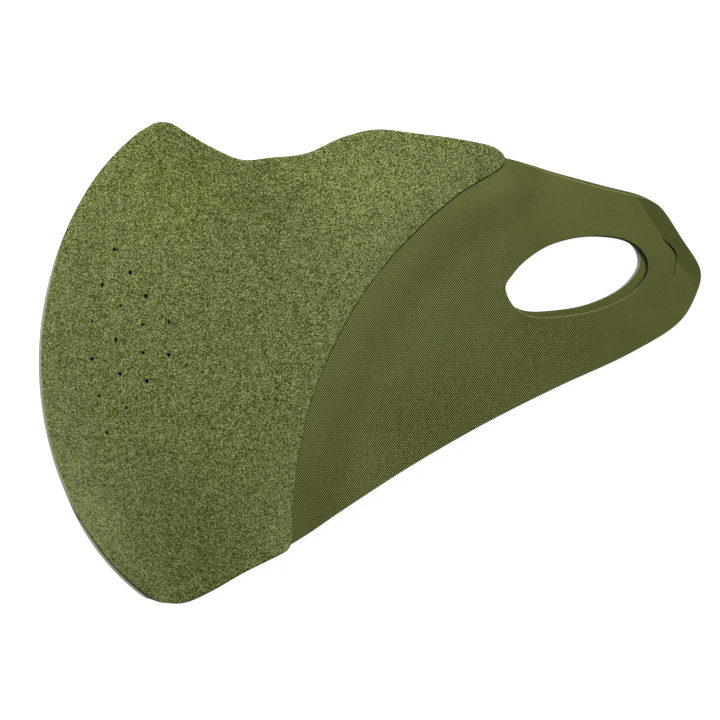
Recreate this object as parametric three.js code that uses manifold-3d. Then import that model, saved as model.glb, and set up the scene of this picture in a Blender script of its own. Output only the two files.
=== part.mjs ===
// A face mask of felt-faced neoprene, folded flat along its centre-front seam and lying on its right side.
// Each half is an inner knit body, which carries the ear loop, with a felt shell over its front.
// Millimetres, +Z up. +X runs from the seam to the ear loops and +Y from the chin to the nose.

import * as THREE from "three";
import { mergeVertices } from "three/addons/utils/BufferGeometryUtils.js";
import Module from "manifold-3d";

const wasm = await Module();
wasm.setup();

// ---------- Driving dimensions ----------

const SHELL_THICK = 1.7; // felt shell
const BODY_THICK = 1.3; // knit-faced neoprene body
const SEAM_THICK = 0.8; // seam strip between the halves
const CLEAR = 0.3; // gap kept between pieces that touch

// The front seam is an arc of one circle, from the nose to the chin. Past drawnFrom degrees on either
// side of its middle it is drawn in, by this much for each degree squared.
const FRONT = { x: 0.6, y: -0.1, radius: 107.1, nose: 134.9, chin: 225.9, drawnFrom: 30, drawn: 0.0078 };
const LEFT_SHELL_INSET = 0.6; // the left shell stops this far inside the right one
const SEAM_INSET = 0.5;
const SEAM_WIDTH = 2.1;
const BODY_INSET = 5.5; // the bodies stop this far inside the front edge

const CUP_GAP = 6.6; // space between the bodies in the middle of the cup
const EAR_GAP = 1.8; // and at the ear loops
const LEAST_GAP = 0.4; // and along the seam
const CUP_RISE = { from: 4, to: 42 }; // distances from the front seam over which the cup opens
const EAR_FALL = { from: 10, to: 70 }; // x over which it closes again towards the ears
const REAR_DROP = { from: 5, to: 18 }; // distances behind the shell over which the body comes down

// The left half is crowned: it rises this much more away from its open edges.
const CROWN = { rise: 1.6, from: 0, to: 28 };

// The left ear loop's end turns up past this line.
const EAR_BEND = { x: 86.4, y: 51.5, toX: 104.0, toY: 24.6, slope: 0.8, width: 4.2 };

const VENT_RADIUS = 0.5;
const VENT_SIDES = 6;

// Hollows in the left half, where the soft cloth sinks.
const HOLLOWS = [
  { name: "beside the nose", x: -58, y: 63, radius: 12, depth: 0.9 },
  { name: "cheek", x: -32, y: 48, radius: 12, depth: 0.6 },
  { name: "chin", x: -56, y: -48, radius: 18, depth: 1.1 },
  { name: "jaw", x: 2, y: -24, radius: 12, depth: 0.8 },
];

// ---------- Outlines ----------

// The felt shell's edges, from the chin along the bottom, up the rear edge and back to the nose.
const SHELL_EDGE = [
  { x: -66.8, y: -77.7 },
  { x: -59.0, y: -76.9 },
  { x: -51.0, y: -73.3 },
  { x: -39.4, y: -66.5 },
  { x: -29.8, y: -61.7 },
  { x: -25.7, y: -59.5 }, // lower rear corner
  { x: -24.6, y: -56.8 },
  { x: -24.5, y: -46.0 },
  { x: -22.0, y: -27.0 },
  { x: -17.8, y: -10.3 },
  { x: -9.4, y: 9.2 },
  { x: 1.7, y: 26.9 },
  { x: 14.6, y: 41.3 },
  { x: 28.4, y: 53.3 },
  { x: 41.6, y: 61.9 },
  { x: 43.2, y: 65.3 }, // upper rear corner
  { x: 39.9, y: 68.1 },
  { x: 29.3, y: 70.5 },
  { x: 14.0, y: 72.4 },
  { x: 1.9, y: 73.6 },
  { x: -8.9, y: 71.0 },
  { x: -20.1, y: 66.0 },
  { x: -31.4, y: 64.7 },
  { x: -40.2, y: 64.0 }, // dip for the bridge of the nose
  { x: -50.7, y: 68.6 },
  { x: -58.8, y: 73.5 },
  { x: -63.9, y: 76.6 },
  { x: -68.4, y: 76.9 },
];
const REAR_EDGE = SHELL_EDGE.slice(5, 16); // the part of it between the two rear corners

// The knit body's edges, the same way round. dx, dy lead from the left body's point to the right
// body's, which lies askew below it at the ears.
const BODY_EDGE = [
  { x: -63.5, y: -75.0, dx: 0, dy: 0 },
  { x: -57.5, y: -74.4, dx: 0, dy: 0 },
  { x: -39.5, y: -65.1, dx: 0, dy: 0 },
  { x: -24.2, y: -57.4, dx: 0, dy: 0 },
  { x: -8.7, y: -47.2, dx: 0, dy: 0.3 },
  { x: 14.1, y: -32.5, dx: -0.5, dy: 0.8 },
  { x: 37.2, y: -19.4, dx: -1.0, dy: 1.5 },
  { x: 60.2, y: -8.0, dx: -2.0, dy: 2.0 },
  { x: 83.5, y: 2.8, dx: -3.0, dy: 2.0 },
  { x: 99.1, y: 12.6, dx: -3.0, dy: 2.0 },
  { x: 103.9, y: 19.8, dx: -3.0, dy: 2.0 },
  { x: 106.1, y: 28.4, dx: -3.0, dy: 2.0 }, // lower corner of the ear loop's end
  { x: 99.5, y: 39.6, dx: -1.5, dy: 1.0 },
  { x: 92.1, y: 50.1, dx: 0.8, dy: 0.2 }, // upper corner of the ear loop's end
  { x: 87.4, y: 52.6, dx: 0.4, dy: 0.9 },
  { x: 75.6, y: 55.6, dx: 0.2, dy: 1.1 },
  { x: 59.4, y: 60.1, dx: 0.2, dy: 1.0 },
  { x: 43.5, y: 65.0, dx: 0, dy: 0.6 },
  { x: 29.4, y: 68.4, dx: 0, dy: 0 },
  { x: 14.0, y: 71.3, dx: 0, dy: 0 },
  { x: 1.9, y: 72.1, dx: 0, dy: 0 },
  { x: -9.4, y: 69.6, dx: 0, dy: 0 },
  { x: -20.2, y: 64.6, dx: 0, dy: 0 },
  { x: -40.3, y: 62.7, dx: 0, dy: 0 },
  { x: -52.0, y: 67.2, dx: 0, dy: 0 },
  { x: -65.5, y: 74.2, dx: 0, dy: 0 },
];

// The left ear hole's edge. The right one lies further from the loop's end.
const EAR_HOLE = [
  { x: 43.4, y: 24.0 },
  { x: 45.6, y: 27.8 },
  { x: 49.9, y: 32.4 },
  { x: 57.1, y: 37.1 },
  { x: 66.5, y: 40.0 },
  { x: 74.9, y: 40.4 },
  { x: 83.0, y: 38.6 },
  { x: 88.3, y: 34.0 },
  { x: 88.6, y: 28.8 },
  { x: 84.1, y: 22.6 },
  { x: 74.0, y: 17.1 },
  { x: 62.6, y: 14.8 },
  { x: 51.5, y: 14.7 },
  { x: 45.8, y: 18.2 },
];
const RIGHT_HOLE_SHIFT = { x: -2.0, y: 1.9 };

// The slit beside the ear hole that lengthens the loop for a larger head.
const EAR_SLIT = { x: 93.8, y: 39.9, bowX: 98.2, bowY: 34.2, toX: 97.4, toY: 27.7, width: 0.9 };

// The vents, in four bowed rows from the seam inwards. Each runs from the nose towards the chin.
const VENT_ROWS = [
  { count: 6, x: -81.1, y: 36.0, bowX: -88.7, bowY: 9.1, toX: -83.6, toY: -22.4 },
  { count: 5, x: -75.9, y: 28.6, bowX: -80.4, bowY: 9.2, toX: -77.0, toY: -14.6 },
  { count: 4, x: -70.7, y: 21.0, bowX: -71.9, bowY: 6.7, toX: -70.3, toY: -6.1 },
  { count: 2, x: -63.2, y: 12.6, bowX: -63.3, bowY: 7.4, toX: -63.3, toY: 2.2 },
];

const radians = THREE.MathUtils.degToRad;
const smoothstep = THREE.MathUtils.smoothstep;

const FRONT_CENTRE = new THREE.Vector2(FRONT.x, FRONT.y);

function frontRadius(degrees) {
  const along = THREE.MathUtils.clamp(degrees, FRONT.nose, FRONT.chin);
  return FRONT.radius - FRONT.drawn * Math.max(0, Math.abs(along - 180) - FRONT.drawnFrom) ** 2;
}

function frontPoints(inset, steps = 30) {
  return Array.from({ length: steps + 1 }, (_, i) => {
    const degrees = THREE.MathUtils.lerp(FRONT.nose, FRONT.chin, i / steps);
    const offset = new THREE.Vector2(frontRadius(degrees) - inset, 0);
    return offset.rotateAround(new THREE.Vector2(), radians(degrees)).add(FRONT_CENTRE);
  });
}

function splinePoints(rows, closed, stepsPerRow = 3) {
  const knots = rows.map((row) => new THREE.Vector3(row.x, row.y, 0));
  const curve = new THREE.CatmullRomCurve3(knots, closed, "centripetal");
  const points = curve.getPoints(stepsPerRow * (closed ? knots.length : knots.length - 1));
  if (closed) points.pop();
  return points.map((point) => new THREE.Vector2(point.x, point.y));
}

function bowPoints(row, count) {
  const bow = new THREE.CatmullRomCurve3(
    [
      new THREE.Vector3(row.x, row.y, 0),
      new THREE.Vector3(row.bowX, row.bowY, 0),
      new THREE.Vector3(row.toX, row.toY, 0),
    ],
    false,
    "centripetal",
  );
  return bow.getSpacedPoints(count - 1).map((point) => new THREE.Vector2(point.x, point.y));
}

function ventHoles() {
  return VENT_ROWS.flatMap((row) =>
    bowPoints(row, row.count).map(({ x, y }) =>
      new THREE.Path().absarc(x, y, VENT_RADIUS, 0, 2 * Math.PI, true),
    ),
  ).map((hole) => new THREE.Path(hole.getSpacedPoints(VENT_SIDES).slice(0, VENT_SIDES)));
}

function shellShape(inset) {
  const shape = new THREE.Shape([...frontPoints(inset), ...splinePoints(SHELL_EDGE, false)]);
  shape.holes = ventHoles();
  return shape;
}

// A crescent: the slit's bowed middle line, out along one side and back along the other.
function slitHole(shift) {
  const line = bowPoints(EAR_SLIT, 7);
  const half = line.map((_, i) => (EAR_SLIT.width / 2) * Math.sin((Math.PI * (i + 0.5)) / 7));
  const side = (sign) => line.map((p, i) => new THREE.Vector2(p.x + sign * half[i], p.y));
  const ring = [...side(1), ...side(-1).reverse()];
  return new THREE.Path(ring.map((p) => p.add(shift)));
}

function bodyShape(isRight) {
  const edge = BODY_EDGE.map((row) => ({
    x: row.x + (isRight ? row.dx : 0),
    y: row.y + (isRight ? row.dy : 0),
  }));
  const shift = new THREE.Vector2(
    isRight ? RIGHT_HOLE_SHIFT.x : 0,
    isRight ? RIGHT_HOLE_SHIFT.y : 0,
  );
  const shape = new THREE.Shape([...frontPoints(BODY_INSET), ...splinePoints(edge, false)]);
  const earHole = new THREE.Path(splinePoints(EAR_HOLE, true).map((point) => point.add(shift)));
  shape.holes = [...ventHoles(), earHole, slitHole(shift)];
  return shape;
}

// ---------- Heights ----------

const FRONT_ENDS = [frontPoints(0).at(0), frontPoints(0).at(-1)];
const REAR_LINE = splinePoints(REAR_EDGE, false);
const OPEN_LINE = splinePoints(BODY_EDGE, false, 1);

// Distance in from the front seam.
function fromSeam(point) {
  const angle = THREE.MathUtils.radToDeg(point.clone().sub(FRONT_CENTRE).angle());
  if (angle > FRONT.nose && angle < FRONT.chin)
    return frontRadius(angle) - point.distanceTo(FRONT_CENTRE);
  return Math.min(...FRONT_ENDS.map((end) => point.distanceTo(end)));
}

// Distance to the right of a line, negative to its left.
function rightOf(line, point) {
  let nearest = Infinity;
  let side = 1;
  for (let i = 1; i < line.length; i++) {
    const start = line[i - 1];
    const along = line[i].clone().sub(start);
    const toPoint = point.clone().sub(start);
    const share = THREE.MathUtils.clamp(toPoint.dot(along) / along.lengthSq(), 0, 1);
    const distance = toPoint.distanceTo(along.clone().multiplyScalar(share));
    if (distance < nearest) {
      nearest = distance;
      side = along.cross(toPoint) < 0 ? 1 : -1;
    }
  }
  return side * nearest;
}

// Distance behind the shells' rear edge, negative where a shell covers the body.
function behindShell(point) {
  return rightOf(REAR_LINE, point);
}

// Distance in from the left body's open edges.
function fromOpenEdge(point) {
  return -rightOf(OPEN_LINE, point);
}

// Distance past the line where the left ear loop's end turns up.
function pastEarBend(point) {
  const along = new THREE.Vector2(EAR_BEND.toX - EAR_BEND.x, EAR_BEND.toY - EAR_BEND.y);
  const toPoint = new THREE.Vector2(point.x - EAR_BEND.x, point.y - EAR_BEND.y);
  return toPoint.cross(along.normalize()) * -1;
}

function rightBodyLow(point) {
  const drop = smoothstep(behindShell(point), REAR_DROP.from, REAR_DROP.to);
  return (SHELL_THICK + CLEAR) * (1 - drop);
}

function gapBetweenBodies(point) {
  const open = smoothstep(fromSeam(point), CUP_RISE.from, CUP_RISE.to);
  const towardsEar = smoothstep(point.x, EAR_FALL.from, EAR_FALL.to);
  const crown = CROWN.rise * smoothstep(fromOpenEdge(point), CROWN.from, CROWN.to);
  const gap = open * THREE.MathUtils.lerp(CUP_GAP + crown, EAR_GAP, towardsEar);
  const turned = EAR_BEND.slope * THREE.MathUtils.clamp(pastEarBend(point), 0, EAR_BEND.width);
  const sunk = HOLLOWS.map(
    (h) => h.depth * Math.exp(-((point.x - h.x) ** 2 + (point.y - h.y) ** 2) / h.radius ** 2),
  ).reduce((sum, depth) => sum + depth, 0);
  return LEAST_GAP + gap - Math.min(sunk, gap) + turned;
}

function leftBodyLow(point) {
  return rightBodyLow(point) + BODY_THICK + gapBetweenBodies(point);
}

// The left shell comes down over the body's front edge to the seam strip.
const SHELL_TURN = SHELL_THICK + 2 * CLEAR + SEAM_THICK; // its lower side's height at the edge
const FLAT_TURN = SHELL_THICK + 2 * CLEAR + 2 * BODY_THICK + LEAST_GAP; // and with no turn
function leftShellLow(point) {
  const turned = 1 - smoothstep(fromSeam(point), SEAM_INSET + SEAM_WIDTH, BODY_INSET);
  return leftBodyLow(point) + BODY_THICK + CLEAR - (FLAT_TURN - SHELL_TURN) * turned;
}

// ---------- Solids ----------

// The cloth is worked out on rings and spokes round the front seam's centre. The rings follow the
// seam and lie closer together where the shell turns down at it, and the spokes lie closer together
// where the ear loop's end bends.
const RINGS = [
  9, 18, 27, 36, 45, 54, 63, 72, 80, 87, 93, 97.5, 101.2, 102.7, 104.1, 105.4, 107.2, 110, 113, 118,
];
const SPOKE_STEP = 7;
const EAR_SPOKES = { from: 7, to: 35, step: 3.5 };

function spokeAngles() {
  const angles = [];
  for (let angle = EAR_SPOKES.from; angle < EAR_SPOKES.to; angle += EAR_SPOKES.step)
    angles.push(angle);
  for (let angle = EAR_SPOKES.to; angle < 360 + EAR_SPOKES.from - 1; angle += SPOKE_STEP)
    angles.push(angle);
  return angles.map(radians);
}
const SPOKES = spokeAngles();

// A slab of cloth as wide as the whole mask: its lower side follows the height function.
function slab(low, thick) {
  const spots = [FRONT_CENTRE.clone()];
  for (const radius of RINGS)
    for (const angle of SPOKES) {
      const drawnIn = frontRadius(THREE.MathUtils.radToDeg(angle)) / FRONT.radius;
      const offset = new THREE.Vector2(Math.cos(angle), Math.sin(angle));
      spots.push(offset.multiplyScalar(radius * drawnIn).add(FRONT_CENTRE));
    }
  const lows = spots.map(low);
  const side = (lift) => spots.flatMap((spot, i) => [spot.x, spot.y, lows[i] + lift]);
  const at = (ring, i) => 1 + ring * SPOKES.length + (i % SPOKES.length);
  const faces = [];
  const both = (a, b, c) => {
    faces.push(a, c, b); // lower side
    faces.push(a + spots.length, b + spots.length, c + spots.length); // upper side
  };
  for (let i = 0; i < SPOKES.length; i++) {
    both(0, at(0, i), at(0, i + 1));
    for (let ring = 1; ring < RINGS.length; ring++) {
      both(at(ring - 1, i), at(ring, i), at(ring, i + 1));
      both(at(ring - 1, i), at(ring, i + 1), at(ring - 1, i + 1));
    }
    const rim = RINGS.length - 1;
    const [a, b] = [at(rim, i), at(rim, i + 1)];
    faces.push(a, b, b + spots.length, a, b + spots.length, a + spots.length);
  }
  const geometry = new THREE.BufferGeometry();
  const positions = [...side(0), ...side(thick)];
  geometry.setAttribute("position", new THREE.Float32BufferAttribute(positions, 3));
  geometry.setIndex(faces);
  return geometry;
}

function toSolid(geometry) {
  const bare = geometry.clone();
  bare.deleteAttribute("normal");
  bare.deleteAttribute("uv");
  const merged = mergeVertices(bare, 1e-4);
  return new wasm.Manifold(
    new wasm.Mesh({
      numProp: 3,
      vertProperties: merged.getAttribute("position").array,
      triVerts: new Uint32Array(merged.getIndex().array),
    }),
  );
}

function toGeometry(solid) {
  const { vertProperties, triVerts } = solid.getMesh();
  const geometry = new THREE.BufferGeometry();
  geometry.setAttribute("position", new THREE.BufferAttribute(vertProperties, 3));
  geometry.setIndex(new THREE.BufferAttribute(triVerts, 1));
  geometry.computeVertexNormals();
  return geometry;
}

function prism(shape, bottom, height) {
  const geometry = new THREE.ExtrudeGeometry(shape, { depth: height, bevelEnabled: false });
  return geometry.translate(0, 0, bottom);
}

function cloth(shape, low, thick) {
  const cutter = toSolid(prism(shape, -10, 60));
  return toGeometry(toSolid(slab(low, thick)).intersect(cutter));
}

function seamStrip() {
  const outer = frontPoints(SEAM_INSET);
  const inner = frontPoints(SEAM_INSET + SEAM_WIDTH).reverse();
  return prism(new THREE.Shape([...outer, ...inner]), SHELL_THICK + CLEAR, SEAM_THICK);
}

// ---------- The mask ----------

const felt = { color: 0x677040, roughness: 0.95, metalness: 0 };
const knit = { color: 0x5b5f39, roughness: 0.85, metalness: 0 };
const thread = { color: 0x33361f, roughness: 0.9, metalness: 0 };

function piece(name, geometry, finish) {
  const mesh = new THREE.Mesh(geometry, new THREE.MeshStandardMaterial(finish));
  mesh.name = name;
  return mesh;
}

const folded = new THREE.Group();
folded.add(
  piece("right_felt_shell", prism(shellShape(0), 0, SHELL_THICK), felt),
  piece("right_knit_body", cloth(bodyShape(true), rightBodyLow, BODY_THICK), knit),
  piece("centre_seam", seamStrip(), thread),
  piece("left_knit_body", cloth(bodyShape(false), leftBodyLow, BODY_THICK), knit),
  piece("left_felt_shell", cloth(shellShape(LEFT_SHELL_INSET), leftShellLow, SHELL_THICK), felt),
);

// The origin is the middle of the mask's outline, on the surface that it lies on.
const middle = new THREE.Box3().setFromObject(folded).getCenter(new THREE.Vector3());
folded.position.set(-middle.x, -middle.y, 0);

const mask = new THREE.Group();
mask.add(folded);

export default mask;
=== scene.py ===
"""The looks of a face mask of felt-faced neoprene, folded flat along its front seam and lying on its
right side. Tables and sizes are in millimetres, and meshes are in metres."""

import math

import bmesh
import bpy
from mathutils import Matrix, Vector


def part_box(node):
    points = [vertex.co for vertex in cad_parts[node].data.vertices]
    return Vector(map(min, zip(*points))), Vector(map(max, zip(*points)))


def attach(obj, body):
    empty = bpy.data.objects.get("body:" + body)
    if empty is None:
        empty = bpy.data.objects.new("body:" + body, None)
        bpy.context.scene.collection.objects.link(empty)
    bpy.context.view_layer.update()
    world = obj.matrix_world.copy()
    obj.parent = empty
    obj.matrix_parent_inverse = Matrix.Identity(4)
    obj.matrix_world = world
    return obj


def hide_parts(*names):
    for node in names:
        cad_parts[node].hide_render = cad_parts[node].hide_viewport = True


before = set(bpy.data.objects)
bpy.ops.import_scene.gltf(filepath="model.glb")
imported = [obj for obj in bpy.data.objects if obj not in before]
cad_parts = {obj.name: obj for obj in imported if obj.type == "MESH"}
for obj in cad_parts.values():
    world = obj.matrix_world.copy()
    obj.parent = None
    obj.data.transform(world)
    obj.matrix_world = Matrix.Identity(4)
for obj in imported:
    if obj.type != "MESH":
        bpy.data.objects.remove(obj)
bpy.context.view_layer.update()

MM = 0.001


def box_mm(node):
    low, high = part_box(node)
    return Vector(low) / MM, Vector(high) / MM


# ---------- Sizes from the frame ----------

RIGHT_SHELL_LOW, RIGHT_SHELL_HIGH = box_mm("right_felt_shell")
RIGHT_BODY_LOW, RIGHT_BODY_HIGH = box_mm("right_knit_body")
SEAM_LOW, SEAM_HIGH = box_mm("centre_seam")

SHELL_THICK = RIGHT_SHELL_HIGH.z - RIGHT_SHELL_LOW.z
CLEAR = SEAM_LOW.z - RIGHT_SHELL_HIGH.z
SEAM_THICK = SEAM_HIGH.z - SEAM_LOW.z
BODY_THICK = RIGHT_BODY_HIGH.z - SEAM_LOW.z
LEAST_GAP = 0.4  # space between the bodies along the seam
EAR_GAP = 1.3  # and at the ear loops
CUP_GAP = 6.6  # and in the middle of the cup
CROWN = dict(rise=1.6, start=0.0, end=28.0)  # the left half rises more away from its open edges

# ---------- The cut of the cloth ----------

# The front seam is an arc of one circle, from the nose to the chin, in degrees. Past drawn_from on
# either side of its middle it is drawn in, by this much for each degree squared.
FRONT = dict(x=0.6, y=-0.1, radius=107.1, nose=134.9, chin=225.9, drawn_from=30.0, drawn=0.0078)
LEFT_SHELL_INSET = dict(nose=0.35, chin=1.3, start=205.0, end=212.5)  # it grows towards the chin
INSET_RUN_OUT = (-5.0, 7.0)  # distances past the chin over which a shell's inset runs out
SEAM_INSET = 0.5
SEAM_WIDTH = 2.1
BODY_INSET = 5.5

# The felt shell's edges, from the chin along the bottom, up the rear edge and back to the nose.
SHELL_EDGE = [
    dict(x=-66.8, y=-77.7),
    dict(x=-59.0, y=-76.9),
    dict(x=-51.0, y=-73.3),
    dict(x=-39.4, y=-66.5),
    dict(x=-29.8, y=-61.7),
    dict(x=-25.7, y=-59.5),  # lower rear corner
    dict(x=-24.6, y=-56.8),
    dict(x=-24.5, y=-46.0),
    dict(x=-22.0, y=-27.0),
    dict(x=-17.8, y=-10.3),
    dict(x=-9.4, y=9.2),
    dict(x=1.7, y=26.9),
    dict(x=14.6, y=41.3),
    dict(x=28.4, y=53.3),
    dict(x=42.3, y=62.3),
    dict(x=43.5, y=64.6),  # upper rear corner
    dict(x=40.7, y=67.8),
    dict(x=29.3, y=70.5),
    dict(x=14.0, y=72.4),
    dict(x=1.9, y=73.6),
    dict(x=-8.9, y=71.0),
    dict(x=-20.1, y=66.0),
    dict(x=-31.4, y=64.7),
    dict(x=-40.2, y=64.0),  # dip for the bridge of the nose
    dict(x=-50.7, y=68.6),
    dict(x=-58.8, y=73.5),
    dict(x=-63.9, y=76.6),
    dict(x=-68.4, y=76.9),
]
REAR_EDGE = SHELL_EDGE[5:16]

# The knit body's edges, the same way round. dx, dy lead from the left body's point to the right
# body's, which lies askew below it at the ears.
BODY_EDGE = [
    dict(x=-63.5, y=-75.0, dx=0.0, dy=0.0),
    dict(x=-57.5, y=-74.4, dx=0.0, dy=0.0),
    dict(x=-39.5, y=-65.1, dx=0.0, dy=0.0),
    dict(x=-24.2, y=-57.4, dx=0.0, dy=0.0),
    dict(x=-8.7, y=-47.2, dx=0.0, dy=0.3),
    dict(x=14.1, y=-32.5, dx=-0.5, dy=0.8),
    dict(x=37.2, y=-19.4, dx=-1.0, dy=1.5),
    dict(x=60.2, y=-8.0, dx=-2.0, dy=2.0),
    dict(x=83.5, y=2.8, dx=-3.0, dy=2.0),
    dict(x=99.1, y=12.6, dx=-3.0, dy=2.0),
    dict(x=103.9, y=19.8, dx=-3.0, dy=2.0),
    dict(x=106.0, y=28.3, dx=-3.0, dy=2.0),  # lower corner of the ear loop's end
    dict(x=99.4, y=39.6, dx=-1.5, dy=1.0),
    dict(x=92.1, y=50.1, dx=0.8, dy=0.2),  # upper corner of the ear loop's end
    dict(x=87.4, y=52.6, dx=0.4, dy=0.9),
    dict(x=75.6, y=55.6, dx=0.2, dy=1.1),
    dict(x=59.4, y=60.1, dx=0.2, dy=1.0),
    dict(x=43.5, y=65.0, dx=0.0, dy=0.6),
    dict(x=29.4, y=68.4, dx=0.0, dy=0.0),
    dict(x=14.0, y=71.3, dx=0.0, dy=0.0),
    dict(x=1.9, y=72.1, dx=0.0, dy=0.0),
    dict(x=-9.4, y=69.6, dx=0.0, dy=0.0),
    dict(x=-20.2, y=64.6, dx=0.0, dy=0.0),
    dict(x=-40.3, y=62.7, dx=0.0, dy=0.0),
    dict(x=-52.0, y=67.2, dx=0.0, dy=0.0),
    dict(x=-65.5, y=74.2, dx=0.0, dy=0.0),
]

# The left ear hole's edge. The right one lies further from the loop's end.
EAR_HOLE = [
    dict(x=43.4, y=24.0),
    dict(x=45.6, y=27.8),
    dict(x=49.9, y=32.4),
    dict(x=57.1, y=37.1),
    dict(x=66.5, y=40.0),
    dict(x=74.9, y=40.4),
    dict(x=83.1, y=38.8),
    dict(x=88.4, y=34.3),
    dict(x=89.1, y=29.0),
    dict(x=84.3, y=22.5),
    dict(x=74.0, y=17.1),
    dict(x=62.6, y=14.8),
    dict(x=51.5, y=14.7),
    dict(x=45.8, y=18.2),
]
RIGHT_HOLE_SHIFT = Vector((-2.1, 2.0))

# The slit beside the ear hole that lengthens the loop for a larger head.
EAR_SLIT = dict(x=93.8, y=39.9, bow_x=98.2, bow_y=34.2, to_x=97.4, to_y=27.7)
SLIT_WIDTH = 0.45  # at its widest, in its upper part
SLIT_LEAST = 0.07  # half its width at the ends
SLIT_STEPS = 12
SLIT_OPEN_STEPS = 8  # of those, the upper ones along which it stands open

# The vents, in four bowed rows from the seam inwards. Each runs from the nose towards the chin.
VENT_ROWS = [
    dict(count=6, x=-81.2, y=35.7, bow_x=-88.7, bow_y=9.1, to_x=-83.4, to_y=-22.6),
    dict(count=5, x=-75.9, y=28.3, bow_x=-80.4, bow_y=9.2, to_x=-77.0, to_y=-14.6),
    dict(count=4, x=-70.7, y=20.8, bow_x=-71.9, bow_y=6.7, to_x=-70.3, to_y=-6.1),
    dict(count=2, x=-63.2, y=12.4, bow_x=-63.3, bow_y=7.4, to_x=-63.3, to_y=2.2),
]
VENT_RADIUS = 0.5
VENT_UNEVEN = 0.15  # share by which the radius varies
VENT_TURN = 2.4  # radians by which it varies on from one vent to the next
VENT_SIDES = 10


FRONT_CENTRE = Vector((FRONT["x"], FRONT["y"]))
EDGE_STEPS = 16  # points from each knot of an edge to the next
HOLE_STEPS = 12


def ease(value, start, end):
    share = min(1.0, max(0.0, (value - start) / (end - start)))
    return share * share * (3 - 2 * share)


def knots_of(rows):
    return [Vector((row["x"], row["y"])) for row in rows]


def spline(knots, closed, steps):
    """A centripetal Catmull-Rom curve through the knots, with steps points from each to the next."""
    count = len(knots)
    spans = count if closed else count - 1
    points = []
    for i in range(spans):
        p1, p2 = knots[i], knots[(i + 1) % count]
        p0 = knots[i - 1] if closed or i else 2 * p1 - p2
        p3 = knots[(i + 2) % count] if closed or i + 2 < count else 2 * p2 - p1
        t1 = math.sqrt((p1 - p0).length)
        t2 = t1 + math.sqrt((p2 - p1).length)
        t3 = t2 + math.sqrt((p3 - p2).length)
        for step in range(steps):
            t = t1 + (t2 - t1) * step / steps
            a1 = p0.lerp(p1, t / t1)
            a2 = p1.lerp(p2, (t - t1) / (t2 - t1))
            a3 = p2.lerp(p3, (t - t2) / (t3 - t2))
            b1 = a1.lerp(a2, t / t2)
            b2 = a2.lerp(a3, (t - t1) / (t3 - t1))
            points.append(b1.lerp(b2, (t - t1) / (t2 - t1)))
    return points if closed else points + [knots[-1].copy()]


def evenly(points, spacing, closed):
    """The same line with its points a set distance apart."""
    line = points + [points[0]] if closed else points
    lengths = [(b - a).length for a, b in zip(line, line[1:])]
    total = sum(lengths)
    count = round(total / spacing)
    spaced, i, passed = [], 0, 0.0
    for k in range(count if closed else count + 1):
        target = min(total * k / count, total - 1e-9)
        while passed + lengths[i] < target:
            passed += lengths[i]
            i += 1
        spaced.append(line[i].lerp(line[i + 1], (target - passed) / lengths[i]))
    return spaced


def front_radius(degrees):
    return FRONT["radius"] - FRONT["drawn"] * max(0.0, abs(degrees - 180) - FRONT["drawn_from"]) ** 2


def front_line(inset, steps=120):
    """The front seam's arc, from the nose to the chin. inset gives its distance from the edge."""
    points = []
    for i in range(steps + 1):
        degrees = FRONT["nose"] + (FRONT["chin"] - FRONT["nose"]) * i / steps
        radius = front_radius(degrees) - inset(degrees)
        points.append(FRONT_CENTRE + radius * Vector((math.cos(math.radians(degrees)),
                                                      math.sin(math.radians(degrees)))))
    return points


def left_shell_inset(degrees):
    nose, chin = LEFT_SHELL_INSET["nose"], LEFT_SHELL_INSET["chin"]
    return nose + (chin - nose) * ease(degrees, LEFT_SHELL_INSET["start"], LEFT_SHELL_INSET["end"])


def soften(points, passes):
    """Rounds a closed line's corners, as cloth is never cut quite sharp."""
    for _ in range(passes):
        points = [(a + b + c) / 3 for a, b, c in
                  zip(points[-1:] + points[:-1], points, points[1:] + points[:1])]
    return points


def bow(row, spaces):
    knots = [Vector((row["x"], row["y"])), Vector((row["bow_x"], row["bow_y"])),
             Vector((row["to_x"], row["to_y"]))]
    line = spline(knots, False, 40)
    length = sum((b - a).length for a, b in zip(line, line[1:]))
    return evenly(line, length / spaces, False)


def circle(centre, radius, sides):
    return [centre + radius * Vector((math.cos(2 * math.pi * i / sides),
                                      math.sin(2 * math.pi * i / sides))) for i in range(sides)]


def vent_rings():
    centres = [centre for row in VENT_ROWS for centre in bow(row, row["count"] - 1)]
    return [circle(centre, VENT_RADIUS * (1 + VENT_UNEVEN * math.sin(VENT_TURN * i)), VENT_SIDES)
            for i, centre in enumerate(centres)]


def slit_ring(shift):
    """A crescent along the slit's line."""
    line = [point + shift for point in bow(EAR_SLIT, SLIT_STEPS)]
    halves = [SLIT_LEAST + SLIT_WIDTH / 2 * max(0.0, math.sin(math.pi * i / SLIT_OPEN_STEPS))
              for i in range(SLIT_STEPS + 1)]
    outer = [p + Vector((h, 0)) for p, h in zip(line, halves)]
    inner = [p - Vector((h, 0)) for p, h in zip(line, halves)]
    return outer + inner[::-1]


def shell_rings(inset, spacing):
    """inset gives the shell's distance from the front edge. It runs out past the chin."""
    edge = spline(knots_of(SHELL_EDGE), False, EDGE_STEPS)
    inwards = (FRONT_CENTRE - edge[0]).normalized() * inset(FRONT["chin"])
    edge = [point + inwards * (1 - ease((point - edge[0]).length, *INSET_RUN_OUT)) for point in edge]
    return [soften(evenly(front_line(inset) + edge, spacing, True), 2)] + vent_rings()


def hole_line(is_right):
    return spline([point + RIGHT_HOLE_SHIFT * is_right for point in knots_of(EAR_HOLE)], True, 4)


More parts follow.
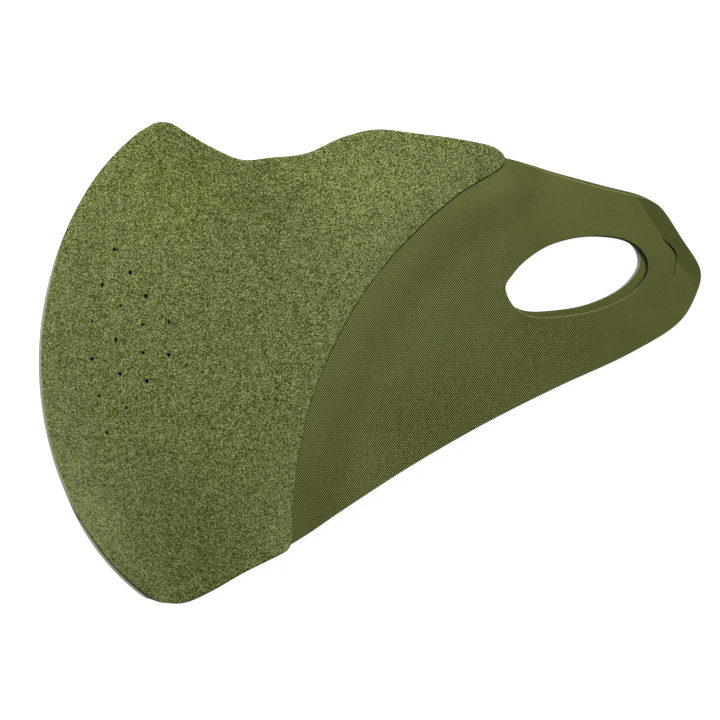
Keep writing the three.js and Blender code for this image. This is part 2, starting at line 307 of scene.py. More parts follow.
def body_rings(is_right, spacing):
    knots = [Vector((row["x"] + is_right * row["dx"], row["y"] + is_right * row["dy"]))
             for row in BODY_EDGE]
    shift = RIGHT_HOLE_SHIFT * is_right
    outline = front_line(lambda degrees: BODY_INSET) + spline(knots, False, EDGE_STEPS)
    hole = evenly([point + shift for point in spline(knots_of(EAR_HOLE), True, HOLE_STEPS)], spacing, True)
    return [soften(evenly(outline, spacing, True), 2), hole, slit_ring(shift)] + vent_rings()


# The frame's origin is the middle of the mask's outline, so the cut is moved to it.
CUT_TO_FRAME = Vector((
    RIGHT_SHELL_LOW.x - (FRONT["x"] - FRONT["radius"]),
    RIGHT_SHELL_LOW.y - min(point.y for point in spline(knots_of(SHELL_EDGE), False, EDGE_STEPS)),
))

# ---------- How the cloth lies ----------

CUP_RISE = (4.0, 42.0)  # distances from the front seam over which the cup opens
EAR_FALL = (10.0, 70.0)  # x over which it closes again towards the ears
REAR_DROP = (5.0, 18.0)  # distances behind the shell over which the body comes down

# The loop's end is turned up past this line. Its slope is less by a share at start, and full at end.
EAR_BEND = dict(x=86.4, y=51.5, to_x=104.0, to_y=24.6, slope=0.9, width=4.2)
EAR_BEND_LOWER = dict(less=0.5, start=22.0, end=40.0)  # start and end are y

# Hollows in the left half, where the soft cloth sinks.
HOLLOWS = [
    dict(name="beside the nose", x=-58.0, y=63.0, radius=12.0, depth=0.9),
    dict(name="cheek", x=-32.0, y=48.0, radius=12.0, depth=0.6),
    dict(name="chin", x=-56.0, y=-48.0, radius=18.0, depth=1.1),
    dict(name="jaw", x=2.0, y=-24.0, radius=12.0, depth=0.8),
]

# The bodies are skived thinner towards the front seam, so that the left shell comes down gently.
SKIVED = dict(thin=0.7, start=BODY_INSET, end=18.0)

# How far the left shell comes down over the body's edge to the seam.
SHELL_TURN = (BODY_THICK - SKIVED["thin"]) * 2 + LEAST_GAP - SEAM_THICK

# The left felt is ironed thinner at its edges, and lies on the knit at its rear one. chin is the
# share that the front is thinner still by the chin.
PRESSED = dict(clear=0.27, rear=1.1, lower_rear=1.25, rear_width=6.0, front=0.7, front_width=7.0,
               chin=0.4)
BY_CHIN = (202.0, 210.0)  # angles over which the chin's part begins
LOWER_REAR = (10.0, 50.0)  # y over which the lower part of the rear edge ends

# How far the left felt's edge comes down, and how much less by the chin and at the rear.
EDGE_DROP = dict(full=0.5, chin=0.25, rear=0.2, lower_rear=0.18)
EDGE_DROP_CHIN = (3.0, 6.0)  # distances from the front edge
EDGE_DROP_REAR = (0.0, 3.0)  # and from the rear one

# The right felt's edge turns up by the chin, over these angles and distances from the seam.
CHIN_LIP = dict(rise=1.2, start=202.0, end=208.5, near=0.6, far=1.9)

FRONT_ARC = front_line(lambda degrees: 0.0)
FRONT_ENDS = (FRONT_ARC[0], FRONT_ARC[-1])
REAR_LINE = spline(knots_of(REAR_EDGE), False, 4)
OPEN_LINE = knots_of(BODY_EDGE)


def front_angle(point):
    offset = point - FRONT_CENTRE
    return math.degrees(math.atan2(offset.y, offset.x)) % 360


def from_seam(point):
    angle = front_angle(point)
    if FRONT["nose"] < angle < FRONT["chin"]:
        return front_radius(angle) - (point - FRONT_CENTRE).length
    return min((point - end).length for end in FRONT_ENDS)


def right_of(line, point):
    """Distance to the right of a line, negative to its left."""
    nearest, side = 1e9, 1
    for start, end in zip(line, line[1:]):
        along, to_point = end - start, point - start
        share = min(1.0, max(0.0, to_point.dot(along) / along.length_squared))
        distance = (to_point - share * along).length
        if distance < nearest:
            nearest = distance
            side = 1 if along.x * to_point.y - along.y * to_point.x < 0 else -1
    return side * nearest


def behind_shell(point):
    """Distance behind the shells' rear edge, negative where a shell covers the body."""
    return right_of(REAR_LINE, point)


def from_open_edge(point):
    return -right_of(OPEN_LINE, point)


def past_ear_bend(point):
    along = Vector((EAR_BEND["to_x"] - EAR_BEND["x"], EAR_BEND["to_y"] - EAR_BEND["y"])).normalized()
    to_point = point - Vector((EAR_BEND["x"], EAR_BEND["y"]))
    return along.x * to_point.y - along.y * to_point.x


def right_body_low(point):
    return (SHELL_THICK + CLEAR) * (1 - ease(behind_shell(point), *REAR_DROP))


def gap_between_bodies(point):
    towards_ear = ease(point.x, *EAR_FALL)
    cup = CUP_GAP + CROWN["rise"] * ease(from_open_edge(point), CROWN["start"], CROWN["end"])
    gap = (cup + (EAR_GAP - cup) * towards_ear) * ease(from_seam(point), *CUP_RISE)
    lower = 1 - ease(point.y, EAR_BEND_LOWER["start"], EAR_BEND_LOWER["end"])
    slope = EAR_BEND["slope"] * (1 - EAR_BEND_LOWER["less"] * lower)
    turned = slope * min(EAR_BEND["width"], max(0.0, past_ear_bend(point)))
    sunk = sum(
        h["depth"] * math.exp(-((point.x - h["x"]) ** 2 + (point.y - h["y"]) ** 2) / h["radius"] ** 2)
        for h in HOLLOWS)
    return LEAST_GAP + gap - min(sunk, gap) + turned


def body_thick(point):
    return BODY_THICK - SKIVED["thin"] * (1 - ease(from_seam(point), SKIVED["start"], SKIVED["end"]))


def left_body_low(point):
    return right_body_low(point) + body_thick(point) + gap_between_bodies(point)


def pressed(point):
    return 1 - ease(-behind_shell(point), 0.0, PRESSED["rear_width"])


def left_shell_low(point):
    turned = 1 - ease(from_seam(point), SEAM_INSET + SEAM_WIDTH, BODY_INSET)
    return (left_body_low(point) + body_thick(point) + CLEAR - SHELL_TURN * turned
            - PRESSED["clear"] * pressed(point))


def at_chin_lip(point):
    return ease(front_angle(point), CHIN_LIP["start"], CHIN_LIP["end"])


def right_shell_thick(point):
    lip = 1 - ease(from_seam(point), CHIN_LIP["near"], CHIN_LIP["far"])
    return SHELL_THICK + CHIN_LIP["rise"] * lip * at_chin_lip(point)


def low_down(point):
    """1 along the lower part of the rear edge, and 0 up at its corner."""
    return 1 - ease(point.y, *LOWER_REAR)


def by_chin(point):
    return ease(front_angle(point), *BY_CHIN)


def left_shell_thick(point):
    bonded = 1 - ease(from_seam(point), 0.0, PRESSED["front_width"])
    rear = PRESSED["rear"] + (PRESSED["lower_rear"] - PRESSED["rear"]) * low_down(point)
    front = PRESSED["front"] * (1 + PRESSED["chin"] * by_chin(point))
    return SHELL_THICK - rear * pressed(point) - front * bonded


def left_shell_rounding(point):
    front = by_chin(point) * (1 - ease(from_seam(point), *EDGE_DROP_CHIN))
    rear = 1 - ease(-behind_shell(point), *EDGE_DROP_REAR)
    return (EDGE_DROP["full"] - EDGE_DROP["chin"] * front
            - (EDGE_DROP["rear"] + EDGE_DROP["lower_rear"] * low_down(point)) * rear)


def even(thick):
    """The same everywhere."""
    return lambda point: thick


def not_pale(point, distance):
    return 0.0


# ---------- Making a piece of cloth ----------

# Bands along a rounded edge, as shares of its width. The last ones are flat, and keep the
# rounding's shading from spreading inwards.
BAND_SHARES = (0.15, 0.25, 0.6, 0.5)

# Painted sheen makes the front edge pale below the nose, where the felt's fuzz catches light at a grazing
# angle. Angles are in degrees round the front arc, and distances are from the edge.
PAINTED_SHEEN_RIM = dict(start=158.0, full=167.0, fade=228.0, end=233.7, near=0.5, far=1.1, inside=92.5)


def painted_rim_sheen(point, distance):
    if (point - FRONT_CENTRE).length < PAINTED_SHEEN_RIM["inside"]:
        return 0.0
    angle = front_angle(point)
    return (ease(angle, PAINTED_SHEEN_RIM["start"], PAINTED_SHEEN_RIM["full"])
            * (1 - ease(angle, PAINTED_SHEEN_RIM["fade"], PAINTED_SHEEN_RIM["end"]))
            * (1 - ease(distance, PAINTED_SHEEN_RIM["near"], PAINTED_SHEEN_RIM["far"])))


def painted_rim_sheen_above(point, distance):
    """The left shell's front edge carries less painted sheen by the chin."""
    return painted_rim_sheen(point, distance) * (1 - at_chin_lip(point))


# The left body's cut edges shine below the ear hole and along the top of the ear loop.
GLINT = dict(share=0.5, reach=0.4)
GLINT_BELOW_HOLE = dict(left=44, right=92, bottom=12, fade=22.0, top=27.0)
GLINT_ON_TOP = dict(left=48, right=88, bottom=46)


def glint(point, distance):
    shine = GLINT["share"] * (1 - ease(distance, 0.0, GLINT["reach"]))
    below, above = GLINT_BELOW_HOLE, GLINT_ON_TOP
    if below["left"] < point.x < below["right"] and below["bottom"] < point.y < below["top"]:
        return shine * (1 - ease(point.y, below["fade"], below["top"]))
    on_top = above["left"] < point.x < above["right"] and point.y > above["bottom"]
    return shine if on_top else 0.0


# Painted light on the felt along the rear edge, and along the front one, where it spreads out towards the
# chin. It lifts the shade on the slopes down to those edges.
PAINTED_LIGHT_REAR = (1.0, 9.0)  # distances over which it fades
PAINTED_LIGHT_CHIN = (190.0, 212.0)  # angles over which it spreads out
PAINTED_LIGHT_FRONT = dict(share=0.6, start=2.0, end=8.0, chin_share=0.6, chin_end=10.0)


def painted_edge_light(point):
    rear = 1 - ease(-behind_shell(point), *PAINTED_LIGHT_REAR)
    chin = ease(front_angle(point), *PAINTED_LIGHT_CHIN)
    front = PAINTED_LIGHT_FRONT
    reach = front["end"] + front["chin_end"] * chin
    share = front["share"] + front["chin_share"] * chin
    return max(rear, share * (1 - ease(from_seam(point), front["start"], reach)))


# The die cuts the ear holes askew, so their lower edges lie off the upper ones.
LEAN_REACH = 6.0
LEAN_AREA = dict(left=30, right=100, bottom=0, top=60)  # round both ear holes
RIGHT_LEAN = Vector((-0.8, -0.1))
LEFT_LEAN = Vector((-0.6, -0.25))


def leaning(point, hole):
    """How far the underside of the cloth is moved at a point near the ear hole."""
    area = LEAN_AREA
    near = area["left"] < point.x < area["right"] and area["bottom"] < point.y < area["top"]
    if not hole or not near:
        return Vector((0.0, 0.0))
    distance = abs(right_of(hole["line"], point))
    return hole["lean"] * (1 - ease(distance, 0.0, LEAN_REACH))


def cut_flat(rings, edge_widths, cell):
    """The cloth as one flat layer, with narrow bands along its edges and square cells inside them,
    so that it can bend everywhere. A layer keeps each point's distance from the edge."""
    bm = bmesh.new()
    for ring in rings:
        corners = [bm.verts.new((point.x, point.y, 0.0)) for point in ring]
        for a, b in zip(corners, corners[1:] + corners[:1]):
            bm.edges.new((a, b))
    bmesh.ops.triangle_fill(bm, use_beauty=True, edges=bm.edges[:], normal=(0, 0, 1))
    from_edge = bm.verts.layers.float.new("from_edge")
    inside = bm.faces[:]
    distance = 0.0
    for width in edge_widths:
        bmesh.ops.inset_region(bm, faces=inside, thickness=width, use_boundary=True,
                               use_even_offset=True)
        distance += width
        for v in {v for f in inside for v in f.verts}:
            v[from_edge] = distance
    for axis in (0, 1):
        places = [v.co[axis] for v in bm.verts]
        inside = halve(bm, inside, axis, math.floor(min(places) / cell),
                       math.ceil(max(places) / cell), cell)
    return bm, from_edge


def halve(bm, faces, axis, first, last, cell):
    """Cuts the faces between two grid lines at the middle one, and then each half the same way."""
    if last - first < 2 or not faces:
        return faces
    middle = (first + last) // 2
    place, normal = Vector(), Vector()
    place[axis] = middle * cell
    normal[axis] = 1.0
    edges = {e for f in faces for e in f.edges}
    verts = {v for f in faces for v in f.verts}
    cut = bmesh.ops.bisect_plane(bm, geom=[*verts, *edges, *faces], plane_co=place, plane_no=normal,
                                 dist=1e-4)
    halves = ([], [])
    for face in cut["geom"]:
        if isinstance(face, bmesh.types.BMFace):
            halves[face.calc_center_median()[axis] > place[axis]].append(face)
    return (halve(bm, halves[0], axis, first, middle, cell)
            + halve(bm, halves[1], axis, middle, last, cell))


def crease(bm, line):
    """Cuts the cloth along a line, so that it can be bent sharply there."""
    start = Vector((line["x"], line["y"], 0.0))
    along = Vector((line["to_x"], line["to_y"], 0.0)) - start
    bmesh.ops.bisect_plane(bm, geom=[*bm.verts, *bm.edges, *bm.faces], plane_co=start,
                           plane_no=along.cross(Vector((0, 0, 1))), dist=1e-4)


def rounding(distance, width, drop):
    """How far an edge rounded over a width has come down at a distance from the cloth's edge."""
    share = min(1.0, distance / width)
    return drop * (1 - math.sqrt(max(0.0, 1 - (1 - share) ** 2)))


def cloth(name, rings, thick, low, edge, cell, materials, hole=None, bend=None):
    """thick and low give the cloth's thickness and its underside at a point. edge has the width of the
    rounded edge, and functions for its drop on the upper and on the lower side and for how much painted
    highlight it carries."""
    bm, from_edge = cut_flat(rings, [edge["width"] * share for share in BAND_SHARES], cell)
    if bend:
        crease(bm, bend)
    # Shares of painted highlight and of painted light at each point, for the materials.
    painted_highlight_rim = bm.verts.layers.float.new("painted_highlight_rim")
    painted_light = bm.verts.layers.float.new("painted_edge_light")
    grown = bmesh.ops.extrude_face_region(bm, geom=bm.faces[:], use_keep_orig=True)
    upper = {g for g in grown["geom"] if isinstance(g, bmesh.types.BMVert)}
    for v in bm.verts:
        point = Vector(v.co.xy)
        v[painted_highlight_rim] = edge["pale"](point, v[from_edge])
        v[painted_light] = painted_edge_light(point)
        if v in upper:
            v.co.z = (low(point) + thick(point)
                      - rounding(v[from_edge], edge["width"], edge["upper"](point)))
        else:
            v.co.z = low(point) + rounding(v[from_edge], edge["width"], edge["lower"](point))
            v.co.xy = point + leaning(point, hole)
    bmesh.ops.recalc_face_normals(bm, faces=bm.faces[:])
    for face in bm.faces:
        face.material_index = 1 if len({v in upper for v in face.verts}) == 2 else 0
        face.smooth = True
    for e in bm.edges:
        if bend and all(abs(past_ear_bend(Vector(v.co.xy))) < 1e-3 for v in e.verts):
            e.smooth = False
    return finished(name, bm, materials)


def finished(name, bm, materials):
    for v in bm.verts:
        v.co.xy = v.co.xy + CUT_TO_FRAME
    bmesh.ops.scale(bm, vec=(MM, MM, MM), verts=bm.verts[:])
    mesh = bpy.data.meshes.new(name)
    bm.to_mesh(mesh)
    bm.free()
    for material in materials:
        mesh.materials.append(material)
    piece = bpy.data.objects.new(name, mesh)
    bpy.context.collection.objects.link(piece)
    return piece


# ---------- Materials ----------

def linear(hex_colour):
    """An sRGB hex colour as linear RGBA."""
    parts = [int(hex_colour[i : i + 2], 16) / 255 for i in (1, 3, 5)]
    return [p / 12.92 if p <= 0.04045 else ((p + 0.055) / 1.055) ** 2.4 for p in parts] + [1.0]


def add(tree, kind, links=None, **settings):
    """Adds a node. links has a value or another node's output for each input, by name or number."""
    made = tree.nodes.new(kind)
    for key, value in settings.items():
        setattr(made, key, value)
    for key, value in (links or {}).items():
        if isinstance(value, bpy.types.Node):
            value = value.outputs[0]
        if isinstance(value, bpy.types.NodeSocket):
            tree.links.new(value, made.inputs[key])
        else:
            made.inputs[key].default_value = value
    return made


def new_material(name):
    """An empty material, and its Object coordinates in millimetres."""
    material = bpy.data.materials.new(name)
    material.use_nodes = True
    tree = material.node_tree
    tree.nodes.clear()
    where = add(tree, "ShaderNodeTexCoord")
    return material, tree, add(tree, "ShaderNodeVectorMath",
                               {0: where.outputs["Object"], 1: [1 / MM] * 3}, operation="MULTIPLY")


def tones(tree, share, *hex_colours):
    """A colour from an even row of them, darkest first, at a share from 0 to 1."""
    ramp = add(tree, "ShaderNodeValToRGB", {0: share})
    stops = ramp.color_ramp.elements
    while len(stops) < len(hex_colours):
        stops.new(0.5)
    for i, hex_colour in enumerate(hex_colours):
        stops[i].position = i / (len(hex_colours) - 1)
        stops[i].color = linear(hex_colour)
    return ramp.outputs["Color"]


# Painted light and shade on the felt: patches lighter where it faces the lamp and darker where it faces
# away. wide and high are a patch's half sizes.
FELT_PAINTED_SHADING = [
    dict(x=5.0, y=55.0, wide=70.0, high=60.0, tone=0.13),
    dict(x=-95.0, y=-55.0, wide=48.0, high=75.0, tone=0.36),
    dict(x=-56.0, y=62.0, wide=50.0, high=45.0, tone=-0.2),
    dict(x=-30.0, y=47.0, wide=30.0, high=25.0, tone=-0.16),
    dict(x=-75.0, y=-50.0, wide=28.0, high=28.0, tone=0.1),
    dict(x=-52.0, y=-74.0, wide=35.0, high=40.0, tone=-0.08),
    dict(x=-30.0, y=-50.0, wide=20.0, high=35.0, tone=0.12),
]
FELT_STRANDS = (8.0, 68.0, 127.0)  # the direction of each layer of strands, in degrees
FELT_STRAND_TONE = 0.62  # how much each layer adds to the tone
FELT_LINT_TONE = 1.65  # and the lint between them
FELT_TONE = 0.25 - 0.5 * (0.4 + FELT_LINT_TONE + 3 * FELT_STRAND_TONE)


def centred_on(tree, mm, patch):
    """Coordinates that are 0 in a patch's middle and 1 at its edge."""
    wide, high = patch["wide"], patch["high"]
    return add(tree, "ShaderNodeMapping",
               {"Vector": mm, "Location": (-patch["x"] / wide, -patch["y"] / high, 0.0),
                "Scale": (1 / wide, 1 / high, 0.0)})


def with_patches(tree, mm, tone, patches):
    """Adds to the tone round the middle of each patch."""
    for patch in patches:
        around = add(tree, "ShaderNodeTexGradient", {0: centred_on(tree, mm, patch)},
                     gradient_type="QUADRATIC_SPHERE")
        tone = add(tree, "ShaderNodeMath", {0: around.outputs["Fac"], 1: patch["tone"], 2: tone},
                   operation="MULTIPLY_ADD")
    return tone


def needled_felt():
    """Polyester felt, needle-punched from mixed light and dark olive fibres and left unpressed. To
    the eye it is a matt heather of fine curved strands that lie every way, with specks of shadow
    between them. The real fibres are 0.03 mm thick, and are drawn five to ten times as wide."""
    material, tree, mm = new_material("needled_felt")
    drift = add(tree, "ShaderNodeTexNoise", {"Vector": mm, "Scale": 0.7, "Detail": 1.0})
    curl = add(tree, "ShaderNodeVectorMath", {0: drift.outputs["Color"], 1: [0.6] * 3, 2: mm},
               operation="MULTIPLY_ADD")
    tone = add(tree, "ShaderNodeTexNoise",
               {"Vector": mm, "Scale": 0.2, "Detail": 3.0, "Roughness": 0.6})
    tone = add(tree, "ShaderNodeMath", {0: tone.outputs["Fac"], 1: 0.4, 2: FELT_TONE},
               operation="MULTIPLY_ADD")
    lint = add(tree, "ShaderNodeTexVoronoi", {"Vector": mm, "Scale": 4.9})
    lint = add(tree, "ShaderNodeSeparateColor", {0: lint.outputs["Color"]})
    tone = add(tree, "ShaderNodeMath", {0: lint, 1: FELT_LINT_TONE, 2: tone},
               operation="MULTIPLY_ADD")
    for degrees in FELT_STRANDS:
        laid = add(tree, "ShaderNodeMapping",
                   {"Vector": curl, "Location": (degrees, -degrees, 0.0),
                    "Rotation": (0.0, 0.0, math.radians(degrees)), "Scale": (3.1, 6.2, 2.0)})
        strand = add(tree, "ShaderNodeTexVoronoi", {"Vector": laid, "Scale": 1.0})
        grey = add(tree, "ShaderNodeSeparateColor", {0: strand.outputs["Color"]})
        tone = add(tree, "ShaderNodeMath", {0: grey, 1: FELT_STRAND_TONE, 2: tone},
                   operation="MULTIPLY_ADD")
    # Painted light and shade in patches.
    tone = with_patches(tree, mm, tone, FELT_PAINTED_SHADING)
    # Painted light along the felt's rear and front edges.
    painted_light = add(tree, "ShaderNodeAttribute", attribute_name="painted_edge_light")
    tone = add(tree, "ShaderNodeMath", {0: painted_light.outputs["Fac"], 1: 0.14, 2: tone},
               operation="MULTIPLY_ADD")
    bump = add(tree, "ShaderNodeBump", {"Height": tone, "Distance": 0.12 * MM, "Strength": 0.3})
    fibres = tones(tree, tone, "#2f3902", "#656d39", "#a2aa72")
    fading = add(tree, "ShaderNodeTexNoise",
                 {"Vector": mm, "Scale": 0.45, "Detail": 5.0, "Roughness": 0.8})
    fading = add(tree, "ShaderNodeMapRange",
                 {"Value": fading.outputs["Fac"], "From Min": 0.52, "From Max": 0.75, "To Max": 0.25})
    fibres = add(tree, "ShaderNodeMix", {"Factor": fading, 6: fibres, 7: linear("#9ca579")},
                 data_type="RGBA").outputs[2]
    # Painted sheen along the felt's front edge, where its fuzz catches light at a grazing angle.
    painted_highlight = add(tree, "ShaderNodeAttribute", attribute_name="painted_highlight_rim")
    colour = add(tree, "ShaderNodeMix",
                 {"Factor": painted_highlight.outputs["Fac"], 6: fibres, 7: linear("#a9aa96")},
                 data_type="RGBA").outputs[2]
    shader = add(tree, "ShaderNodeBsdfPrincipled",
                 {"Base Color": colour, "Roughness": 0.95, "Sheen Weight": 0.04,
                  "Sheen Roughness": 0.5, "Sheen Tint": linear("#8f9767"),
                  "Specular IOR Level": 0.05, "Normal": bump})
    add(tree, "ShaderNodeOutputMaterial", {0: shader})
    return material


# Between loops along x and along y, in mm. Real jersey has 0.4 to 0.6 mm, so it is drawn coarser.
KNIT_PITCH = (0.69, 0.95)
KNIT_LOOPS_BOLDEST = dict(x=8.0, y=-7.0, wide=82.0, high=66.0)  # where the loops stand out most

# Painted light and shade on the jersey: patches lighter where it faces the lamp, and darker where it faces
# away or lies in the ear loop's shadow.
KNIT_PAINTED_SHADING = [
    dict(x=70.0, y=10.0, wide=75.0, high=42.0, tone=-0.04),
    dict(x=-4.0, y=-26.0, wide=15.0, high=45.0, tone=0.1),
    dict(x=25.0, y=-20.0, wide=32.0, high=24.0, tone=-0.08),
    dict(x=37.0, y=43.0, wide=22.0, high=22.0, tone=0.04),
    dict(x=55.0, y=58.0, wide=40.0, high=14.0, tone=0.05),
]


def jersey_faced_foam():
    """Polyester jersey laminated to foam, as in scuba cloth. To the eye it is smooth and matt, with a very
    fine staggered grid of loops. They stand out most round the middle of the mask, and fade towards its
    edges and the ear loops."""
    material, tree, mm = new_material("jersey_faced_foam")
    drift = add(tree, "ShaderNodeTexNoise", {"Vector": mm, "Scale": 0.1, "Detail": 2.0})
    pulled = add(tree, "ShaderNodeVectorMath", {0: drift.outputs["Color"], 1: [0.9] * 3, 2: mm},
                 operation="MULTIPLY_ADD")
    parts = add(tree, "ShaderNodeSeparateXYZ", {0: pulled})
    waves = []
    for axis, pitch in zip("XY", KNIT_PITCH):
        turned = add(tree, "ShaderNodeMath", {0: parts.outputs[axis], 1: 2 * math.pi / pitch},
                     operation="MULTIPLY")
        waves.append(add(tree, "ShaderNodeMath", {0: turned}, operation="SINE"))
    loops = add(tree, "ShaderNodeMath", {0: waves[0], 1: waves[1]}, operation="MULTIPLY")
    boldness = add(tree, "ShaderNodeTexGradient", {0: centred_on(tree, mm, KNIT_LOOPS_BOLDEST)},
                   gradient_type="SPHERICAL")
    uneven = add(tree, "ShaderNodeTexNoise", {"Vector": mm, "Scale": 0.08, "Detail": 3.0})
    contrast = add(tree, "ShaderNodeMath", {0: boldness, 1: uneven.outputs["Fac"]}, operation="ADD")
    contrast = add(tree, "ShaderNodeMapRange",
                   {"Value": contrast, "From Min": 0.5, "From Max": 1.05, "To Min": 0.1, "To Max": 1.4})
    loops = add(tree, "ShaderNodeMath", {0: loops, 1: 0.26}, operation="SUBTRACT")
    grid = add(tree, "ShaderNodeMath", {0: loops, 1: contrast}, operation="MULTIPLY")
    fuzz = add(tree, "ShaderNodeTexNoise",
               {"Vector": mm, "Scale": 2.5, "Detail": 2.0, "Roughness": 0.7})
    blotch = add(tree, "ShaderNodeTexNoise", {"Vector": mm, "Scale": 0.05, "Detail": 2.0})
    tone = add(tree, "ShaderNodeMath", {0: fuzz.outputs["Fac"], 1: 0.2, 2: grid},
               operation="MULTIPLY_ADD")
    tone = add(tree, "ShaderNodeMath", {0: blotch.outputs["Fac"], 1: 0.12, 2: tone},
               operation="MULTIPLY_ADD")
    tone = add(tree, "ShaderNodeMath", {0: tone, 1: 0.335}, operation="ADD")
    # Painted light and shade in patches.
    tone = with_patches(tree, mm, tone, KNIT_PAINTED_SHADING)
    bump = add(tree, "ShaderNodeBump", {"Height": grid, "Distance": 0.03 * MM, "Strength": 0.4})
    # Painted glint on the left body's cut edges, where they catch the lamp.
    painted_highlight = add(tree, "ShaderNodeAttribute", attribute_name="painted_highlight_rim")
    loops = tones(tree, tone, "#131600", "#5a5e31", "#a6ab68")
    colour = add(tree, "ShaderNodeMix",
                 {"Factor": painted_highlight.outputs["Fac"], 6: loops, 7: linear("#9a9e6e")},
                 data_type="RGBA").outputs[2]
    shader = add(tree, "ShaderNodeBsdfPrincipled",
                 {"Base Color": colour, "Roughness": 0.85,
                  "Sheen Weight": 0.03, "Sheen Roughness": 0.4, "Sheen Tint": linear("#7a7d5a"),
                  "Specular IOR Level": 0.08, "Normal": bump})
    add(tree, "ShaderNodeOutputMaterial", {0: shader})
    return material


def cut_foam(name, dark, light):
    """The laminate's die-cut edge, where its core of open-celled foam shows, or the bond of melted
    foam along the front seam. To the eye it is dull and porous."""
    material, tree, mm = new_material(name)
    pores = add(tree, "ShaderNodeTexNoise", {"Vector": mm, "Scale": 2.2, "Detail": 4.0})
    tone = add(tree, "ShaderNodeMapRange",
               {"Value": pores.outputs["Fac"], "From Min": 0.3, "From Max": 0.7})
    bump = add(tree, "ShaderNodeBump", {"Height": tone, "Distance": 0.1 * MM})
    shader = add(tree, "ShaderNodeBsdfPrincipled",
                 {"Base Color": tones(tree, tone, dark, light), "Roughness": 0.95,
                  "Specular IOR Level": 0.15, "Normal": bump})
    add(tree, "ShaderNodeOutputMaterial", {0: shader})
    return material


def light_table():
    """Matt white acrylic, lit from below. To the eye it is an even white with hardly a shadow."""
    material, tree, mm = new_material("light_table")
    grain = add(tree, "ShaderNodeTexNoise", {"Vector": mm, "Scale": 0.5, "Detail": 2.0})
    shader = add(tree, "ShaderNodeBsdfPrincipled",
                 {"Base Color": tones(tree, grain, "#969694", "#9c9c9b"),
                  "Roughness": 0.9, "Specular IOR Level": 0.1,
                  "Emission Color": linear("#ffffff"), "Emission Strength": 0.95})
    add(tree, "ShaderNodeOutputMaterial", {0: shader})
    return material


# ---------- The pieces ----------

FELT_EDGE_WIDTH = 0.7  # over which a felt shell's edges are rounded
KNIT_EDGE = dict(width=0.25, upper=even(0.12), lower=even(0.1))
BOND_EDGE = dict(width=0.3, upper=even(0.15), lower=even(0.15), pale=not_pale)
CELL = 2.0  # of the grid inside a piece
SPACING = 1.0  # of the points along its outline

felt = needled_felt()
knit = jersey_faced_foam()
felt_edge = cut_foam("raw_felt_edge", "#6c6c5c", "#94948a")
pale_foam = cut_foam("raw_knit_edge", "#63635c", "#94948c")
# The left body's cut edge is the same foam as the right's, painted near black for the shade in the gap
# beneath it.
shaded_knit_edge = cut_foam("knit_edge_painted_shade", "#0c0c08", "#1c1c16")
bond = cut_foam("bonded_seam", "#23260f", "#3a3e22")

right_felt = cloth("right_felt", shell_rings(lambda degrees: 0.0, SPACING), right_shell_thick,
                   even(0.0), dict(width=FELT_EDGE_WIDTH, upper=even(0.3), lower=even(0.2),
                                   pale=painted_rim_sheen), CELL, [felt, felt_edge])
right_knit = cloth("right_knit", body_rings(1, SPACING), body_thick, right_body_low,
                   dict(KNIT_EDGE, pale=not_pale), CELL, [knit, pale_foam],
                   hole=dict(line=hole_line(1), lean=RIGHT_LEAN))
seam_outer = front_line(lambda degrees: SEAM_INSET + left_shell_inset(degrees))
seam_inner = front_line(lambda degrees: SEAM_INSET + SEAM_WIDTH + left_shell_inset(degrees))
seam = cloth("bonded_front_seam", [evenly(seam_outer + seam_inner[::-1], SPACING, True)],
             even(SEAM_THICK), even(SEAM_LOW.z), BOND_EDGE, CELL, [bond, bond])
left_knit = cloth("left_knit", body_rings(0, SPACING), body_thick, left_body_low,
                  dict(KNIT_EDGE, pale=glint), CELL, [knit, shaded_knit_edge],
                  hole=dict(line=hole_line(0), lean=LEFT_LEAN), bend=EAR_BEND)
left_felt = cloth("left_felt", shell_rings(left_shell_inset, SPACING), left_shell_thick,
                  left_shell_low, dict(width=FELT_EDGE_WIDTH, upper=left_shell_rounding,
                                       lower=even(-0.2), pale=painted_rim_sheen_above), CELL,
                  [felt, felt])


for piece, node, material_slot in (
    (right_felt, "right_felt_shell", "felt"),
    (right_knit, "right_knit_body", "knit"),
    (seam, "centre_seam", "seam"),
    (left_knit, "left_knit_body", "knit"),
    (left_felt, "left_felt_shell", "felt"),
):
    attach(piece, "root")
    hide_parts(node)

# ---------- The studio ----------

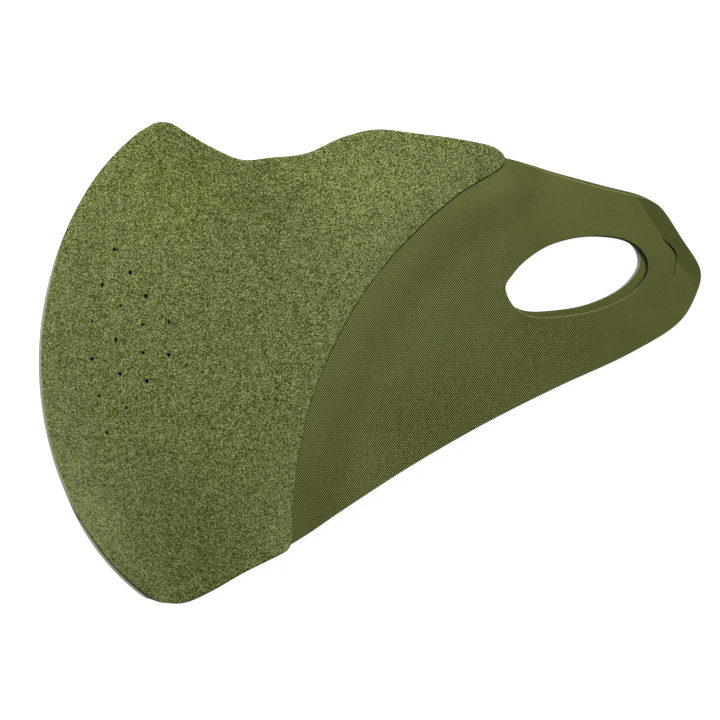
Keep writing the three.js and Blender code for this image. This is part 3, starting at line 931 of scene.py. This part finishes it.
FLOOR_SIZE = 3.0  # half its width, in metres
FLOOR_BELOW = 0.0002  # under the mask, in metres
floor_bm = bmesh.new()
bmesh.ops.create_grid(floor_bm, x_segments=1, y_segments=1, size=FLOOR_SIZE)
bmesh.ops.translate(floor_bm, vec=(0.0, 0.0, -FLOOR_BELOW), verts=floor_bm.verts[:])
floor_mesh = bpy.data.meshes.new("studio_floor")
floor_bm.to_mesh(floor_mesh)
floor_bm.free()
floor_mesh.materials.append(light_table())
floor = bpy.data.objects.new("studio_floor", floor_mesh)
bpy.context.collection.objects.link(floor)

# A large soft lamp stands beyond the nose, and a wide one overhead fills the shadows. In metres.
LAMPS = [
    dict(name="key_lamp", place=(-0.08, 0.37, 0.46), size=0.30, power=4.2),
    dict(name="fill_lamp", place=(0.0, -0.1, 1.5), size=1.6, power=2.4),
]
for lamp in LAMPS:
    light = bpy.data.lights.new(lamp["name"], "AREA")
    light.shape = "DISK"
    light.size = lamp["size"]
    light.energy = lamp["power"]
    holder = bpy.data.objects.new(lamp["name"], light)
    holder.location = lamp["place"]
    holder.rotation_euler = (-Vector(lamp["place"])).to_track_quat("-Z", "Y").to_euler()
    bpy.context.collection.objects.link(holder)

WORLD_LIGHT = 0.06
world = bpy.data.worlds.new("studio_air")
bpy.context.scene.world = world
world.use_nodes = True
background = world.node_tree.nodes["Background"]
background.inputs["Color"].default_value = (1.0, 1.0, 1.0, 1.0)
background.inputs["Strength"].default_value = WORLD_LIGHT

# The camera looks straight down on the folded mask.
LENS = 100.0
SENSOR = 36.0
VIEW_WIDTH = 232.3  # of the table that it sees
VIEW_CENTRE = Vector((-3.06, 0.65)) + CUT_TO_FRAME
camera_data = bpy.data.cameras.new("camera")
camera_data.lens = LENS
camera_data.sensor_width = SENSOR
camera = bpy.data.objects.new("camera", camera_data)
camera.location = (VIEW_CENTRE.x * MM, VIEW_CENTRE.y * MM, VIEW_WIDTH * LENS / SENSOR * MM)
bpy.context.collection.objects.link(camera)
bpy.context.scene.camera = camera
bpy.context.scene.view_settings.view_transform = "Standard"
